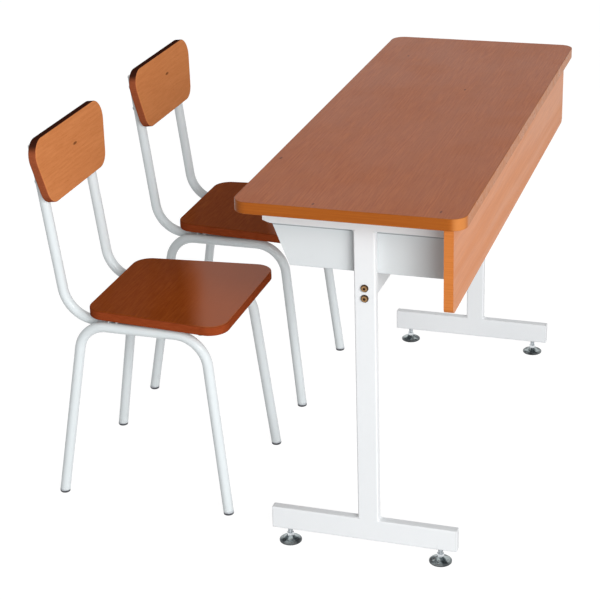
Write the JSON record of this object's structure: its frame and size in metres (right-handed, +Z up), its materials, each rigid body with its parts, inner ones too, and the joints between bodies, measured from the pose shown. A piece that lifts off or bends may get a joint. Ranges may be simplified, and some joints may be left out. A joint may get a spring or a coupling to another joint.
{
  "type": "two-seat school desk with chairs",
  "caption": "School desk with a laminated top, a book tray, a modesty panel and levelling feet, with wooden chairs on bent tube frames.",
  "frame": {"origin": "on the floor, at the middle of the box round the desk and its chairs", "axes": "+X along the desk to the pupils' right, +Y the way the pupils face, +Z up"},
  "size_m": [1.2, 0.9498, 0.7967],
  "materials": {
    "desk_laminate": "satin reddish-brown wood-grain laminate",
    "panel_laminate": "satin light orange wood-grain laminate",
    "edge_band": "satin orange-brown plastic edging",
    "desk_paint": "semi-gloss white powder coat",
    "chair_paint": "glossy white powder coat",
    "chair_plywood": "glossy red-brown lacquered wood grain",
    "white_plastic": "satin white",
    "tip_plastic": "satin grey",
    "yellow_zinc": "worn yellow zinc plating",
    "bright_zinc": "bright zinc plating",
    "dark_chrome": "polished"
  },
  "bodies": {
    "desk_frame": {"book_tray": "desk_paint", "bracket_screws": "bright_zinc", "cross_beam": "desk_paint", "cross_beam_bolts": "yellow_zinc", "cross_beam_nuts": "bright_zinc", "cross_beam_plates": "desk_paint", "desk_top": "desk_laminate", "foot_beam_caps": "white_plastic", "left_foot_beam": "desk_paint", "left_top_rail": "desk_paint", "left_upright": "desk_paint", "leg_welds": "desk_paint", "modesty_panel": "panel_laminate", "panel_brackets": "bright_zinc", "panel_edge_band": "edge_band", "right_foot_beam": "desk_paint", "right_top_rail": "desk_paint", "right_upright": "desk_paint", "stem_nuts": "bright_zinc", "top_edge_band": "edge_band", "top_rail_screws": "bright_zinc", "tray_screws": "bright_zinc"},
    "left_chair": {"left_chair_back_tube_plugs": "white_plastic", "left_chair_backrest_board": "chair_plywood", "left_chair_backrest_screws": "bright_zinc", "left_chair_foot_tips": "tip_plastic", "left_chair_front_cross_tube": "chair_paint", "left_chair_left_back_tube": "chair_paint", "left_chair_left_hoop": "chair_paint", "left_chair_rear_cross_tube": "chair_paint", "left_chair_right_back_tube": "chair_paint", "left_chair_right_hoop": "chair_paint", "left_chair_seat_board": "chair_plywood", "left_chair_seat_screws": "bright_zinc"},
    "left_front_foot_disc": {"left_front_foot_disc": "dark_chrome"},
    "left_front_foot_stem": {"left_front_foot_stem": "bright_zinc"},
    "left_rear_foot_disc": {"left_rear_foot_disc": "dark_chrome"},
    "left_rear_foot_stem": {"left_rear_foot_stem": "bright_zinc"},
    "right_chair": {"right_chair_back_tube_plugs": "white_plastic", "right_chair_backrest_board": "chair_plywood", "right_chair_backrest_screws": "bright_zinc", "right_chair_foot_tips": "tip_plastic", "right_chair_front_cross_tube": "chair_paint", "right_chair_left_back_tube": "chair_paint", "right_chair_left_hoop": "chair_paint", "right_chair_rear_cross_tube": "chair_paint", "right_chair_right_back_tube": "chair_paint", "right_chair_right_hoop": "chair_paint", "right_chair_seat_board": "chair_plywood", "right_chair_seat_screws": "bright_zinc"},
    "right_front_foot_disc": {"right_front_foot_disc": "dark_chrome"},
    "right_front_foot_stem": {"right_front_foot_stem": "bright_zinc"},
    "right_rear_foot_disc": {"right_rear_foot_disc": "dark_chrome"},
    "right_rear_foot_stem": {"right_rear_foot_stem": "bright_zinc"}
  },
  "joints": [
    {"name": "right_chair_slide", "type": "slide", "parent": "desk_frame", "child": "right_chair", "axis": [0, 1, 0], "range_m": [-0.35, 0.4]},
    {"name": "left_chair_slide", "type": "slide", "parent": "desk_frame", "child": "left_chair", "axis": [0, 1, 0], "range_m": [-0.35, 0.4]},
    {"name": "right_rear_foot_height", "type": "slide", "parent": "desk_frame", "child": "right_rear_foot_disc", "axis": [0, 0, 1], "range_m": [-0.012, 0.009]},
    {"name": "right_rear_foot_turn", "type": "hinge", "parent": "right_rear_foot_disc", "child": "right_rear_foot_stem", "pos_m": [0.505, 0.09741, 0.0125], "axis": [0, 0, 1], "range_deg": [-2880, 2160]},
    {"name": "right_front_foot_height", "type": "slide", "parent": "desk_frame", "child": "right_front_foot_disc", "axis": [0, 0, 1], "range_m": [-0.012, 0.009]},
    {"name": "right_front_foot_turn", "type": "hinge", "parent": "right_front_foot_disc", "child": "right_front_foot_stem", "pos_m": [0.505, 0.41241, 0.0125], "axis": [0, 0, 1], "range_deg": [-2880, 2160]},
    {"name": "left_rear_foot_height", "type": "slide", "parent": "desk_frame", "child": "left_rear_foot_disc", "axis": [0, 0, 1], "range_m": [-0.012, 0.009]},
    {"name": "left_rear_foot_turn", "type": "hinge", "parent": "left_rear_foot_disc", "child": "left_rear_foot_stem", "pos_m": [-0.505, 0.09741, 0.0125], "axis": [0, 0, 1], "range_deg": [-2880, 2160]},
    {"name": "left_front_foot_height", "type": "slide", "parent": "desk_frame", "child": "left_front_foot_disc", "axis": [0, 0, 1], "range_m": [-0.012, 0.009]},
    {"name": "left_front_foot_turn", "type": "hinge", "parent": "left_front_foot_disc", "child": "left_front_foot_stem", "pos_m": [-0.505, 0.41241, 0.0125], "axis": [0, 0, 1], "range_deg": [-2880, 2160]}
  ],
  "couplings": [
    {"joint": "right_rear_foot_turn", "follows": "right_rear_foot_height", "rad_per_m": 4188.8},
    {"joint": "right_front_foot_turn", "follows": "right_front_foot_height", "rad_per_m": 4188.8},
    {"joint": "left_rear_foot_turn", "follows": "left_rear_foot_height", "rad_per_m": 4188.8},
    {"joint": "left_front_foot_turn", "follows": "left_front_foot_height", "rad_per_m": 4188.8}
  ]
}
